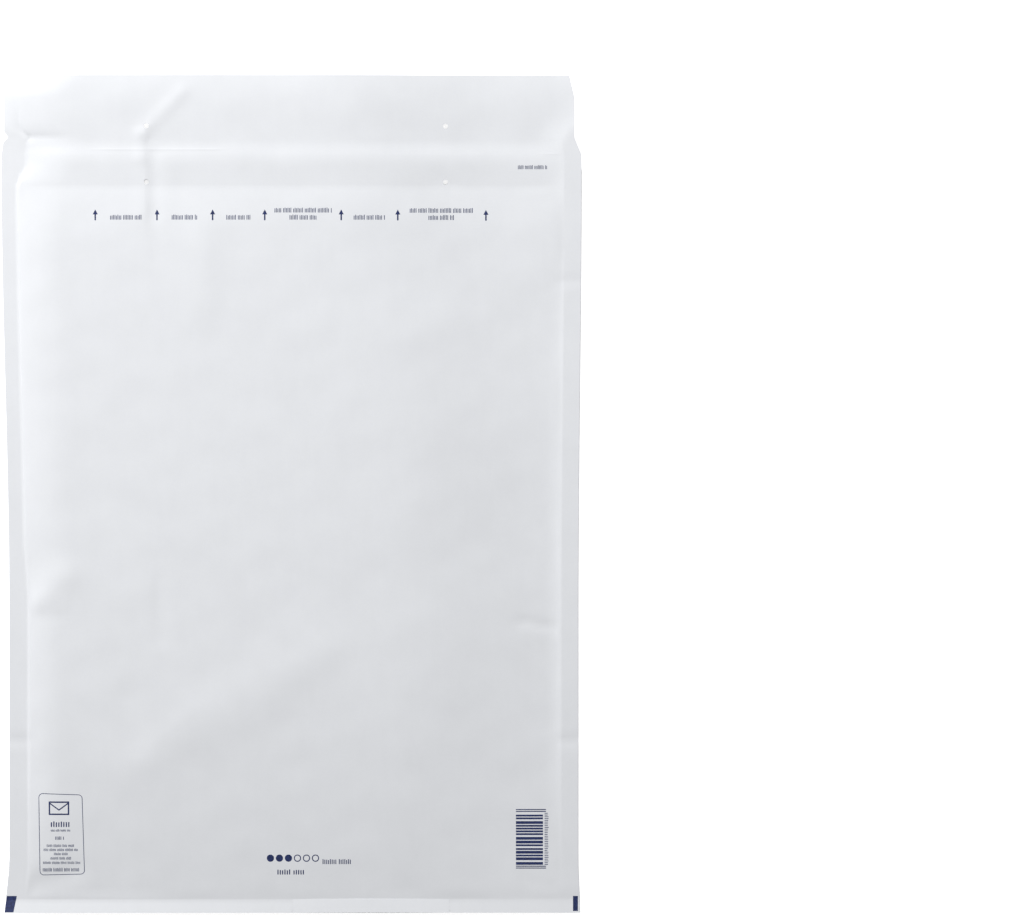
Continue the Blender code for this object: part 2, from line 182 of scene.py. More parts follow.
# Broad folds in millimetres: start, end, half width, height (a valley is negative)
FOLDS = np.array((
    (-69, 254, -94, 228, 4.2, 0.5),
    (-94, 228, -95.5, 212, 3.6, 0.4),
    (-92.5, 212, -92.5, 177, 4.5, 0.3),
    (-86.8, 214, -86.8, 177, 4.5, -0.4),
    (-86.5, 177, -84.5, 149, 5, -0.3),
    (-57, 168, -54, 124, 13, 0.7),
    (-168, -73.5, -156, -66, 6, 0.35),
    (-160, -66, -143, -53, 10, 0.9),
    (145, -80.5, 167, -84.8, 3.5, -0.3),
    (-99, -172, 15, -103, 18, 0.9),
    (-104, -130, -98, -160, 9, -0.4),
    (-83, -54, -83, -92, 5, -0.25),
    (66, 96, 148, 136, 18, 0.4),
    (40, -70, 130, -20, 25, -0.4),
    (-165, -247, -138, -240, 7, -0.6),
    (160, 120, 169, 60, 7, 0.2),
)) / 1000
SEAM_NOTCHES = ((-1, -0.156), (1, -0.156), (1, 0.135))

# Finer creases of the handled paper, in the same way
CREASES = np.array((
    (150, 190, 163, 191, 2.5, 0.25),
    (95, 200, 102, 196, 4, -0.3),
    (-53, 166, -52, 128, 5, 0.1),
    (-168, -250.5, -118, -250.5, 1.8, -0.2),
    (147, -243.5, 168, -250, 2.2, -0.28),
    (-90, -160, -60, -135, 8, 0.2),
    (146, -80.5, 166, -84.8, 1.6, -0.34),
    (-164, -76.5, -142, -77, 2.5, -0.26),
    (31, 124, 28, 92, 4, -0.15),
    (115, 132, 118, 120, 4, -0.15),
)) / 1000

# The scored line that the flap folds along: the parts that show (start, end, y), half width, height
SCORES = ((-0.129, -0.039, 0.2178), (0.155, 0.183, 0.2152))
SCORE_HALF_WIDTH = 0.0005
SCORE_HEIGHT = 0.00010
SCORE_FADE = 0.01

# How finely the fine sheets are divided
PAPER_STEP = 0.0029
EDGE_STEP = 0.00065
EDGE_REACH = 0.0055
BACK_STEP = 0.0060
FILM_STEP = 0.008
EDGE_STATIONS = 8
SEAM_STATION = 0.15 * SEAM_WIDTH
RING_SHARES = (-1, -0.5, 0, 0.5, 1)
RING_ROOM = 0.4 * PAPER_STEP
RINGS_IN_LINE = 0.0005
SAME_PLACE = 1e-6
SHARP_ANGLE = 50.0

# Bubbles: how full, how many sides, rings of the ball, and the lowest one that is set
BUBBLE_FULLNESS = 0.42
BUBBLE_SIDES = 8
BUBBLE_RINGS = 4
LEAST_BUBBLE = LINER_WALL / 3

# Noises of the materials: scale, detail, roughness
CLOUD = (45.0, 5.0, 0.6)
FIBRE = (700.0, 3.0, 0.6)
STREAK = (160.0, 2.0, 0.5)
CRINKLE = (110.0, 4.0, 0.55)
HAZE = (180.0, 3.0, 0.5)
INK_GRAIN = (900.0, 3.0, 0.6)
STREAK_STRETCH = (1.0, 0.25, 1.0)

# The part of a noise that is spread out, and how far each one changes the shade or the polish
NOISE_LOW, NOISE_HIGH = 0.3, 0.7
CLOUD_SHADE, FIBRE_SHADE, STREAK_SHADE = 0.012, 0.006, 0.004
PAPER_POLISH = 0.05
FILM_POLISH = (0.16, 0.32)
INK_COVER = (0.35, 0.65, 1.0, 1.9)
FILM_CLEARNESS = 0.35

# Roughness and specular level of the surfaces
PAPER_SPECULAR = 0.35
INK_SURFACE = (0.45, 0.4)
FLOOR_SURFACE = (0.9, 0.1)
FILM_ROUGHNESS, GLUE_ROUGHNESS, RELEASE_ROUGHNESS = 0.22, 0.25, 0.32

# Bumps: height and strength
FIBRE_BUMP = (0.00003, 0.5)
CRINKLE_BUMP = (0.0001, 0.5)
HAZE_BUMP = (0.0002, 0.4)

# Stage: each light's place and size, the floor, the camera's sensor, width of view and place
KEY_LIGHT = ((-1.45, 1.6, 1.7), 0.9)
FILL_LIGHT = ((1.25, 0.7, 1.5), 1.0)
FLOOR_HALF = 4
FLOOR_DROP = 0.0004
FLOOR_COLOUR = (0.80, 0.80, 0.80)
FLOOR_GLOW = 0.85
SENSOR = 36.0
VIEW_WIDTH = 0.6481
VIEW_DEPTH = 50.0
CAMERA_X, CAMERA_Y = 0.1396, 0.0231


class PaperSettings(bpy.types.PropertyGroup):
    paper_colour: FloatVectorProperty(
        name="Paper Colour", description="Base colour of the white kraft paper", subtype="COLOR", size=3,
        min=0.0, max=1.0, default=(0.800, 0.815, 0.845),
    )
    ink_colour: FloatVectorProperty(
        name="Ink Colour", description="Colour of the printed marks", subtype="COLOR", size=3,
        min=0.0, max=1.0, default=(0.014, 0.023, 0.080),
    )
    roughness: FloatProperty(
        name="Roughness", description="Mean roughness of the paper", subtype="FACTOR", min=0.0, max=1.0,
        default=0.55,
    )
    unevenness: FloatProperty(
        name="Unevenness", description="Height of the soft dents that handling leaves", unit="LENGTH",
        min=0.0, max=0.001, default=0.00006,
    )


class FilmSettings(bpy.types.PropertyGroup):
    bubble_diameter: FloatProperty(
        name="Bubble Diameter", description="Width of one air bubble at its foot", unit="LENGTH",
        min=0.004, max=0.03, default=0.0098,
    )
    bubble_pitch: FloatProperty(
        name="Bubble Pitch", description="Distance between the middles of neighbouring bubbles",
        unit="LENGTH", min=0.006, max=0.04, default=0.0115,
    )
    film_thickness: FloatProperty(
        name="Film Thickness", description="Thickness of the smooth film that carries the bubbles",
        unit="LENGTH", min=0.00005, max=0.001, default=0.0002,
    )
    film_colour: FloatVectorProperty(
        name="Film Colour", description="Base colour of the bubble film", subtype="COLOR", size=3,
        min=0.0, max=1.0, default=(0.86, 0.88, 0.90),
    )


class StripSettings(bpy.types.PropertyGroup):
    glue_colour: FloatVectorProperty(
        name="Glue Colour", description="Base colour of the self-seal glue", subtype="COLOR", size=3,
        min=0.0, max=1.0, default=(0.85, 0.82, 0.70),
    )
    release_colour: FloatVectorProperty(
        name="Release Strip Colour", description="Base colour of the strip that covers the glue",
        subtype="COLOR", size=3, min=0.0, max=1.0, default=(0.86, 0.85, 0.80),
    )


class StageSettings(bpy.types.PropertyGroup):
    key_power: FloatProperty(
        name="Key Light", description="Power of the large light above the flap's left corner", unit="POWER",
        min=0.0, max=1000.0, default=79.0,
    )
    fill_power: FloatProperty(
        name="Fill Light", description="Power of the weaker light from the right", unit="POWER",
        min=0.0, max=1000.0, default=8.0,
    )
    surroundings: FloatProperty(
        name="Surroundings", description="Strength of the even light from all round", min=0.0, max=2.0,
        default=0.18,
    )
    camera_distance: FloatProperty(
        name="Camera Distance", description="Height of the camera above the envelope", unit="LENGTH",
        min=0.5, max=20.0, default=2.6,
    )
    seed: IntProperty(name="Seed", description="Seed of the soft dents and bar widths", min=0, default=7)


def smooth_step(value):
    value = np.clip(value, 0.0, 1.0)
    return value * value * (3 - 2 * value)


def rounded_rise(depth, run):
    """0 at the seam to 1 where the sheet levels off, rounded like a quarter ellipse."""
    return np.sqrt(1 - (1 - np.clip(depth / run, 0.0, 1.0)) ** 2)


def smooth_rise(depth, run):
    return smooth_step(depth / run)


def eased_rise(depth, run):
    """0 at the seam to 1 at run inside it, with a slope that fades evenly."""
    return 1 - (1 - np.clip(depth / run, 0.0, 1.0)) ** 2


def side_inset(y, pull, inset, cut_across, cut_along, nick=0.0):
    """How far a side lies inside half the width at y: the puffed body pulls in, and the flap is cut."""
    drawn = smooth_step((CREASE_Y - y) / (CREASE_Y - PINCH_Y))
    to_foot = 1 - (1 - FOOT_PULL_SHARE) * smooth_step((FOOT_Y + FOOT_PULL_RUN - y) / FOOT_PULL_RUN)
    waist = inset * np.clip((y - CREASE_Y) / INSET_RUN, 0.0, 1.0)
    waist = waist + nick * np.clip(1 - np.abs(y - CREASE_Y - INSET_RUN) / NICK_HALF_LENGTH, 0.0, 1.0)
    cut = (cut_across - inset) * np.clip((y - TIP_Y + cut_along) / cut_along, 0.0, 1.0)
    return pull * drawn * to_foot + waist + cut


def side_places(y):
    """X of the left and right edge at y."""
    left = side_inset(y, LEFT_PULL, LEFT_INSET, LEFT_CUT_ACROSS, LEFT_CUT_ALONG, LEFT_NICK)
    right = side_inset(y, RIGHT_PULL, RIGHT_INSET, RIGHT_CUT_ACROSS, RIGHT_CUT_ALONG)
    return left - HALF_WIDTH, HALF_WIDTH - right


def across(u, y):
    """X of the place u of the flat web, which the sides' true line at y moves in."""
    low, high = side_places(y)
    return low + (u + HALF_WIDTH) / WIDTH * (high - low)


def unrolled(x, y):
    """The place u of the flat web that lies at x: the reverse of across."""
    low, high = side_places(y)
    return (x - low) / (high - low) * WIDTH - HALF_WIDTH


def line_distance(x, y, line):
    """Distance from the line between two points, which are given in one row."""
    ax, ay, dx, dy = line[0], line[1], line[2] - line[0], line[3] - line[1]
    share = np.clip(((x - ax) * dx + (y - ay) * dy) / (dx * dx + dy * dy), 0.0, 1.0)
    return np.hypot(x - ax - share * dx, y - ay - share * dy)


def soft_dents(x, y):
    """Even, shallow unevenness from handling, with a root mean square of about 1."""
    random = np.random.default_rng(bpy.context.scene.envelope_stage.seed)
    relief = 0.0
    for _ in range(DENT_WAVES):
        turn = random.uniform(0, math.pi)
        length = random.uniform(*DENT_LENGTHS)
        start = random.uniform(0, 2 * math.pi)
        way = (x * math.cos(turn) + y * math.sin(turn)) / length
        relief = relief + np.sin(2 * math.pi * way + start) / math.sqrt(DENT_WAVES / 2)
    return relief


def fold_relief(x, y):
    """Height that the paper's folds and soft waves add to the front panel."""
    along = (x + UNDULATION_SLANT * y) / UNDULATION_LENGTH
    twist = np.cos(math.pi * along - UNDULATION_TWIST * x / WIDTH)
    relief = UNDULATION * np.sin(2 * math.pi * along) * twist
    for *line, half_width, height in FOLDS:
        relief = relief + height * np.exp(-((line_distance(x, y, line) / half_width) ** 2))
    for *line, half_width, height in CREASES:
        relief = relief + height * np.exp(-line_distance(x, y, line) / half_width)
    for start, end, place in SCORES:
        fade = smooth_step((x - start) / SCORE_FADE) * smooth_step((end - x) / SCORE_FADE)
        relief = relief + SCORE_HEIGHT * fade * np.exp(-(((y - place) / SCORE_HALF_WIDTH) ** 2))
    return relief + bpy.context.scene.envelope_paper.unevenness * soft_dents(x, y)


def left_depth(u, y):
    """Distance of a place from the inner edge of the left seam, which is wider towards foot and crease."""
    widening = LEFT_WIDENING * smooth_step((PINCH_Y + LEFT_WIDENING_RUN - y) / LEFT_WIDENING_RUN)
    chamfer = LEFT_CHAMFER * smooth_step(CHAMFER_REACH - np.abs(y - CREASE_Y) / CHAMFER_RUN)
    return POCKET_HALF + u - widening - chamfer


def right_depth(u):
    """Distance of a place from the inner edge of the right seam."""
    return POCKET_HALF - RIGHT_WIDENING - u


def inner_share(rise, run, u, y):
    """0 on the side seams and the foot band, 1 from run inside them."""
    return rise(left_depth(u, y), run) * rise(right_depth(u), run) * rise(y - POCKET_FOOT_Y, run)


def broad_share(u, y):
    """0 on the right seam and the foot band, 1 over the padding. It starts further in near the mouth."""
    flat = RIGHT_FLAT * smooth_step((y - RIGHT_FLAT_FROM) / RIGHT_FLAT_RISE)
    return smooth_step((right_depth(u) - flat) / RIGHT_RUN) * eased_rise(y - POCKET_FOOT_Y, FOOT_RUN)


def swell_share(u, y, outward=0.0):
    """0 on the seams and the foot band, 1 over the padding. Outward moves the left edge that far out."""
    left_run = LEFT_RUN_LOW + (LEFT_RUN - LEFT_RUN_LOW) * smooth_step((y - PINCH_Y) / PINCH_RUN)
    return eased_rise(left_depth(u, y) + outward, left_run + outward) * broad_share(u, y)


def drape(u, y, outward=0.0):
    """Rise and fall along the panel, from the foot over the crease to the flap's tip."""
    inward = np.clip((LINER_Y - y) / MOUTH_FALL_RUN, 0.0, 1.0)
    body = -MOUTH_FALL * (1 - inward) ** 2
    body = body - SAG * np.exp(-(((u - SAG_X) / SAG_HALF_WIDTH) ** 2)) * smooth_step(inward)
    band = np.clip((y - LINER_Y) / (LINER_SETBACK - CREASE_FALL_HALF), 0.0, 1.0)
    past_crease = smooth_step(((y - CREASE_Y - CREASE_FALL_SHIFT) / CREASE_FALL_HALF + 1) / 2)
    out = np.clip((y - CREASE_Y) / FLAP_DEPTH, 0.0, 1.0)
    flap = FLAP_LIFT * smooth_step(out / FLAP_LIFT_SHARE) - FLAP_FALL * out**4
    sides = eased_rise(left_depth(u, y) + outward, DRAPE_RUN)
    sides = sides * eased_rise(right_depth(u) + outward, DRAPE_RUN)
    return sides * (body + BAND_RISE * band - CREASE_FALL * past_crease + flap)


def right_dip(u, y):
    """Shallow trough beside the right seam, which runs out near the mouth."""
    depth = right_depth(u)
    trough = eased_rise(depth, RIGHT_DIP_RUN) - smooth_step((depth - RIGHT_DIP_RUN) / RIGHT_RUN)
    ends = eased_rise(y - POCKET_FOOT_Y, FOOT_RUN) * (1 - smooth_step((y - RIGHT_DIP_END) / RIGHT_DIP_FADE))
    return RIGHT_DIP * trough * ends


def seam_notches(u, y):
    """Small folds that dent the side seams where the envelope was bent."""
    dent = 0.0
    for side, place in SEAM_NOTCHES:
        near_side = smooth_step((side * u - POCKET_HALF) / SEAM_WIDTH + 1)
        dent = dent + NOTCH_DEPTH * near_side * np.exp(-(((y - place) / NOTCH_RUN) ** 2))
    return dent


def foot_lip(u, y):
    """How far the foot band bends up from its inner edge to the fold, most at the left."""
    lip = FOOT_LIP * (1 - FOOT_LIP_FADE * u / HALF_WIDTH)
    return lip * np.clip((POCKET_FOOT_Y - y) / FOOT_BAND, 0.0, 1.0)


def foot_crease(u, y):
    """Depth of the crease along the foot band's inner edge, towards the right."""
    above = np.maximum(y - POCKET_FOOT_Y, 0.0) / FOOT_CREASE_HALF
    below = np.clip((POCKET_FOOT_Y - y) / FOOT_BAND, 0.0, 1.0)
    side = smooth_step((u - FOOT_CREASE_X) / FOOT_CREASE_FADE)
    return FOOT_CREASE * side * np.exp(-(above**2)) * (1 - below)


def front_height(x, y):
    """Outer face of the front panel and flap."""
    u = unrolled(x, y)
    relaxed = smooth_step((y - CREASE_Y) / FLAP_RELAX_RUN)
    outward = SEAM_WIDTH * relaxed
    wall = inner_share(rounded_rise, WALL_RUN, u, y)
    gate = inner_share(smooth_rise, RELIEF_RUN, u, y)
    swell = swell_share(u, y)
    wall = wall + (1 - wall) * relaxed
    gate = gate + (1 - gate) * relaxed
    swell = swell + (swell_share(u, y, SEAM_WIDTH) - swell) * relaxed
    padding = WALL_HEIGHT * wall * broad_share(u, y) + SWELL_HEIGHT * swell + drape(u, y, 2 * outward)
    dents = right_dip(u, y) * (1 - relaxed) + seam_notches(u, y) + foot_crease(u, y)
    return SEAM_TOP + foot_lip(u, y) + padding + gate * fold_relief(x, y) - dents


def back_height(x, y):
    """Outer face of the back panel: flat on the ground in the middle, its mouth edge curled up."""
    u = unrolled(x, y)
    share = rounded_rise(POCKET_HALF - np.abs(u), BACK_BEVEL)
    share = share * rounded_rise(y - POCKET_FOOT_Y, BACK_BEVEL)
    curl = MOUTH_CURL * smooth_step((y - MOUTH_Y) / MOUTH_CURL_RUN + 1)
    height = (SEAM_BOTTOM - foot_crease(u, y)) * (1 - share) + foot_lip(u, y) + curl * share
    return height - seam_notches(u, y)


PANELS = {"front": front_height, "back": back_height}


def film_faces(x, y):
    """Heights of the two smooth faces of the film, towards the pocket."""
    u = unrolled(x, y)
    out_u, out_y = u + np.copysign(LINER_OFFSET, u), y - LINER_OFFSET
    wall = inner_share(rounded_rise, WALL_RUN, out_u, out_y)
    padding = WALL_HEIGHT * wall * broad_share(out_u, out_y) + SWELL_HEIGHT * swell_share(out_u, out_y)
    padding = padding + drape(out_u, np.minimum(y, LINER_Y))
    relief = RELIEF_ROOM * inner_share(smooth_rise, RELIEF_RUN, out_u, out_y)
    top = SEAM_TOP + padding - LINER_OFFSET - relief - right_dip(u, y) - seam_notches(u, y)
    bottom = back_height(x + np.copysign(LINER_OFFSET, u), y - LINER_OFFSET) + LINER_OFFSET
    low, high = bottom + LINER_WALL, top - LINER_WALL
    middle = (low + high) / 2
    half = np.maximum((high - low) / 2, FILM_HALF_GAP)
    return middle - half, middle + half


def crowded(start, run):
    """Stations from start over a rounded edge, close together where it is steep."""
    turns = np.arange(EDGE_STATIONS) / EDGE_STATIONS * math.pi / 2
    return list(start + run * (1 - np.cos(turns)))


def filled(keys, step):
    """The keys in order, with even stations between those that are further apart than step."""
    keys = sorted(keys)
    stations = keys[:1]
    for low, high in zip(keys, keys[1:]):
        parts = max(1, math.ceil((high - low) / step))
        stations += list(np.linspace(low, high, parts + 1)[1:])
    return stations


def hole_places():
    """Middle of each punched hole and whether it goes through the back panel too."""
    return [
        (HOLE_SHIFT + side * HOLE_SPACING / 2, CREASE_Y + away * HOLE_FROM_CREASE, away < 0)
        for side in (-1, 1)
        for away in (-1, 1)
    ]


def with_rings(stations, middles):
    """Swaps the stations near each punched hole for its own five. Holes nearly in line share them."""
    apart = []
    for middle in sorted(middles):
        if not apart or middle - apart[-1] > RINGS_IN_LINE:
            apart.append(middle)
    rings = [middle + HOLE_RADIUS * share for middle in apart for share in RING_SHARES]
    kept = [s for s in stations if all(abs(s - ring) > RING_ROOM for ring in rings)]
    return sorted(kept + rings)


def web_stations():
    """Columns, body rows, back rows and flap rows of the fine paper."""
    inward = np.arange(EDGE_STEP, EDGE_REACH, EDGE_STEP)
    edges = [*(POCKET_HALF - inward), POCKET_HALF, POCKET_HALF + SEAM_STATION, HALF_WIDTH]
    edges += [-place for place in edges]
    holes = hole_places()
    columns = filled(set(edges), PAPER_STEP)
    columns = with_rings(columns, [float(unrolled(x, y)) for x, y, _ in holes])
    foot = crowded(POCKET_FOOT_Y, WALL_RUN)
    body = filled({FOOT_Y, LINER_Y, MOUTH_Y} | set(foot), PAPER_STEP)
    body = with_rings(body, [y for _, y, through in holes if through])
    bevel = crowded(POCKET_FOOT_Y + WALL_RUN, BACK_BEVEL - WALL_RUN)
    back = filled({FOOT_Y, MOUTH_Y - MOUTH_CURL_RUN, MOUTH_Y} | set(foot) | set(bevel[::2]), BACK_STEP)
    back = with_rings(back, [y for _, y, through in holes if through])
    cuts = [TIP_Y - RIGHT_CUT_ALONG, TIP_Y - LEFT_CUT_ALONG, TIP_Y]
    nick = [CREASE_Y + INSET_RUN + side * NICK_HALF_LENGTH for side in (-1, 0, 1)]
    score = [place + share * SCORE_HALF_WIDTH for _, _, place in SCORES for share in range(-2, 3)]
    flap = filled(set([MOUTH_Y, CREASE_Y] + score + cuts + nick), PAPER_STEP)[1:]
    flap = with_rings(flap, [y for _, y, through in holes if not through])
    return columns, body, back, flap


def linked(name, data):
    """A new object of the scene."""
    made = bpy.data.objects.new(name, data)
    bpy.context.scene.collection.objects.link(made)
    return made


def mesh_object(name, points, faces):
    mesh = bpy.data.meshes.new(name)
    mesh.from_pydata(np.asarray(points, float).tolist(), [], faces)
    mesh.validate()
    return linked(name, mesh)


def round_off(mesh):
    mesh.shade_smooth()
    mesh.set_sharp_from_angle(angle=math.radians(SHARP_ANGLE))


def made_plain(piece):
    """Swaps the piece's mesh for what its modifiers make of it."""
    graph = bpy.context.evaluated_depsgraph_get()
    mesh = bpy.data.meshes.new_from_object(piece.evaluated_get(graph))
    piece.modifiers.clear()
    old, piece.data = piece.data, mesh
    bpy.data.meshes.remove(old)
    mesh.name = piece.name
    return piece


def thickened(piece, thickness):
    """Gives a sheet its thickness, inwards from the face that was drawn."""
    wall = piece.modifiers.new("wall", "SOLIDIFY")
    wall.thickness = thickness
    wall.offset = -1.0
    wall.use_even_offset = True
    made_plain(piece)
    round_off(piece.data)
    return piece


def skin_points(columns, rows):
    """Points of a sheet, row after row. Each row is a height function and its y."""
    u = np.array(columns)
    points = []
    for height, y in rows:
        x = across(u, y)
        points.append(np.column_stack([x, np.full_like(x, y), height(x, y)]))
    return np.concatenate(points)


def skin_faces(width, length, open_cells=()):
    """Faces between the points of a sheet. The cells named by row and column stay open."""
    return [
        (j * width + i, j * width + i + 1, (j + 1) * width + i + 1, (j + 1) * width + i)
        for j in range(length - 1)
        for i in range(width - 1)
        if (j, i) not in open_cells
    ]


def slab_faces(width, length):
    """Faces of a closed slab, whose points are those of its upper side and then those of its lower side."""
    size = width * length
    faces = []
    for face in skin_faces(width, length):
        faces += [face, tuple(v + size for v in reversed(face))]
    rim = [*range(width - 1), *range(width - 1, size - 1, width)]
    rim += [*range(size - 1, size - width, -1), *range(size - width, 0, -width)]
    return faces + [(v, v + size, after + size, after) for v, after in zip(rim, rim[1:] + rim[:1])]


def nearest(stations, place):
    return int(np.argmin(np.abs(np.array(stations) - place)))


def closed_sides(width, back, front):
    """Faces that join the sides of a back panel to those of the front panel that follows it."""
    faces = []
    for k in range(len(back) - 1):
        rows = list(range(nearest(front, back[k]), nearest(front, back[k + 1]) + 1))
        left = [(len(back) + row) * width for row in reversed(rows)]
        left += [(len(back) - 1 - k) * width, (len(back) - 2 - k) * width]
        faces += [tuple(left), tuple(v + width - 1 for v in reversed(left))]
    return faces


def open_holes(points, columns, rows):
    """Moves the ring of points round each punched hole onto its circle, and names the cells inside it."""
    width = len(columns)
    u = np.array(columns)
    cells = set()
    for x, y, through in hole_places():
        for panel in (("front", "back") if through else ("front",)):
            j = next(
                k for k, (side, place) in enumerate(rows) if side == panel and abs(place - y) < SAME_PLACE
            )
            i = nearest(u, float(unrolled(x, y)))
            slip = (0.0, 0.0)
            if panel == "back":
                slip = (BACK_HOLE_SLIP[0] + math.copysign(BACK_HOLE_SPREAD, x), BACK_HOLE_SLIP[1])
            for dj in range(-2, 3):
                for di in range(-2, 3):
                    if dj < 2 and di < 2:
                        cells.add((j + dj, i + di))
                    if max(abs(dj), abs(di)) < 2:
                        continue
                    way = np.array([di, dj if panel == "front" else -dj], float)
                    way = way / np.hypot(*way) * HOLE_RADIUS
                    px, py = x + slip[0] + way[0], y + slip[1] + way[1]
                    points[(j + dj) * width + i + di] = (px, py, float(PANELS[panel](px, py)))
    return cells


def shader_material(name, colour, roughness, specular=0.5):
    material = bpy.data.materials.new(name)
    material.use_nodes = True
    bench = NodeBench(material.node_tree)
    bench.shade("Base Color", (*colour, 1.0))
    bench.shade("Roughness", roughness)
    bench.shade("Specular IOR Level", specular)
    material.diffuse_color = (*colour, 1.0)
    return material


class NodeBench:
    """Adds nodes to one tree and links them. Inputs go by name, or by i and their number."""

    def __init__(self, tree):
        self.tree = tree

    def add(self, kind, settings=None, **inputs):
        node = self.tree.nodes.new(kind)
        for key, value in (settings or {}).items():
            setattr(node, key, value)
        for key, value in inputs.items():
            socket = node.inputs[int(key[1:])] if key[1:].isdigit() else node.inputs[key.replace("_", " ")]
            self.put(value, socket)
        return node

    def put(self, value, socket):
        if isinstance(value, bpy.types.NodeSocket):
            self.tree.links.new(value, socket)
        else:
            socket.default_value = value

    def shade(self, name, value):
        """Puts a value on the material's own shader."""
        self.put(value, self.tree.nodes["Principled BSDF"].inputs[name])

    def math(self, operation, first, second):
        return self.add("ShaderNodeMath", {"operation": operation}, i0=first, i1=second).outputs[0]

    def join(self, **parts):
        return self.add("ShaderNodeCombineXYZ", **parts).outputs[0]

    def place(self):
        return self.add("ShaderNodeTexCoord").outputs["Object"]

    def noise(self, vector, scale, detail, roughness):
        values = {"Scale": scale, "Detail": detail, "Roughness": roughness}
        return self.add("ShaderNodeTexNoise", Vector=vector, **values).outputs["Fac"]

    def ranged(self, value, low, high, to_low, to_high):
        values = {"From_Min": low, "From_Max": high, "To_Min": to_low, "To_Max": to_high}
        return self.add("ShaderNodeMapRange", Value=value, **values).outputs["Result"]

    def spread(self, value, reach):
        return self.ranged(value, NOISE_LOW, NOISE_HIGH, -reach, reach)

    def tint(self, colour, factor):
        """Gives the shader a colour that the factor lightens and darkens."""
        tinted = self.add("ShaderNodeVectorMath", {"operation": "SCALE"}, i0=tuple(colour), i3=factor)
        self.shade("Base Color", tinted.outputs[0])

    def bump(self, height, distance, strength, **normal):
        values = {"Height": height, "Distance": distance, "Strength": strength}
        return self.add("ShaderNodeBump", **values, **normal).outputs[0]


def kraft_paper():
    """White kraft paper: cloudy fibre, fine grain and faint crinkles."""
    settings = bpy.context.scene.envelope_paper
    surface = (settings.roughness, PAPER_SPECULAR)
    material = shader_material("white_kraft_paper", settings.paper_colour, *surface)
    bench = NodeBench(material.node_tree)
    place = bench.place()
    along = bench.add("ShaderNodeMapping", Vector=place, Scale=STREAK_STRETCH).outputs[0]
    cloud, fibre = bench.noise(place, *CLOUD), bench.noise(place, *FIBRE)
    streak = bench.noise(along, *STREAK)
    shade = bench.math("ADD", bench.spread(cloud, CLOUD_SHADE), bench.spread(fibre, FIBRE_SHADE))
    shade = bench.math("ADD", shade, bench.spread(streak, STREAK_SHADE))
    bench.tint(settings.paper_colour, bench.math("ADD", shade, 1.0))
    both = bench.math("ADD", cloud, streak)
    polish = bench.ranged(both, 2 * NOISE_LOW, 2 * NOISE_HIGH, -PAPER_POLISH, PAPER_POLISH)
    bench.shade("Roughness", bench.math("ADD", polish, settings.roughness))
    grain = bench.bump(fibre, *FIBRE_BUMP)
    bench.shade("Normal", bench.bump(bench.noise(place, *CRINKLE), *CRINKLE_BUMP, Normal=grain))
    return material


class ENVELOPE_OT_paper_web(bpy.types.Operator):
    """Make the folded, sealed and puffed paper web with its flap"""

    bl_idname = "envelope.paper_web"
    bl_label = "Paper Web"

    def execute(self, context):
        columns, body, back, flap = web_stations()
        rows = [("back", y) for y in reversed(back)] + [("front", y) for y in body + flap]
        points = skin_points(columns, [(PANELS[side], y) for side, y in rows])
        cells = open_holes(points, columns, rows)
        faces = skin_faces(len(columns), len(rows), cells)
        faces += closed_sides(len(columns), back, body)
        piece = mesh_object("kraft_web", points, faces)
        thickened(piece, PAPER)
        piece.data.materials.append(kraft_paper())
        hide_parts("paper_cover")
        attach(piece, "root")
        return {"FINISHED"}


def slab_object(name, columns, rows, top, bottom):
    """A closed thin solid over a grid of places, between two height functions."""
    points = skin_points(columns, [(height, y) for height in (top, bottom) for y in rows])
    piece = mesh_object(name, points, slab_faces(len(columns), len(rows)))
    round_off(piece.data)
    return piece


def bubble_seats(settings):
    """Places of the bubbles on both smooth films, with each one's height and the way it faces."""
    pitch = settings.bubble_pitch
    seats = []
    rows = int((LINER_Y - FILM_FOOT_Y) / (pitch * math.sqrt(3) / 2))
    for row in range(rows):
        y = FILM_FOOT_Y + pitch / 2 + row * pitch * math.sqrt(3) / 2
        count = int(2 * FILM_HALF / pitch) - row % 2
        for k in range(count):
            u = (k - (count - 1) / 2) * pitch
            x = float(across(u, y))
            low, high = film_faces(x, y)
            down = float(low - back_height(x, y)) - LINER_OFFSET
            up = float(front_height(x, y) - high) - LINER_OFFSET
            for z, rise, turn in ((high, up, 0.0), (low, down, math.pi)):
                rise = min(rise, LINER_WALL)
                if rise > LEAST_BUBBLE:
                    seats.append((x, y, float(z), rise, turn))
    return seats


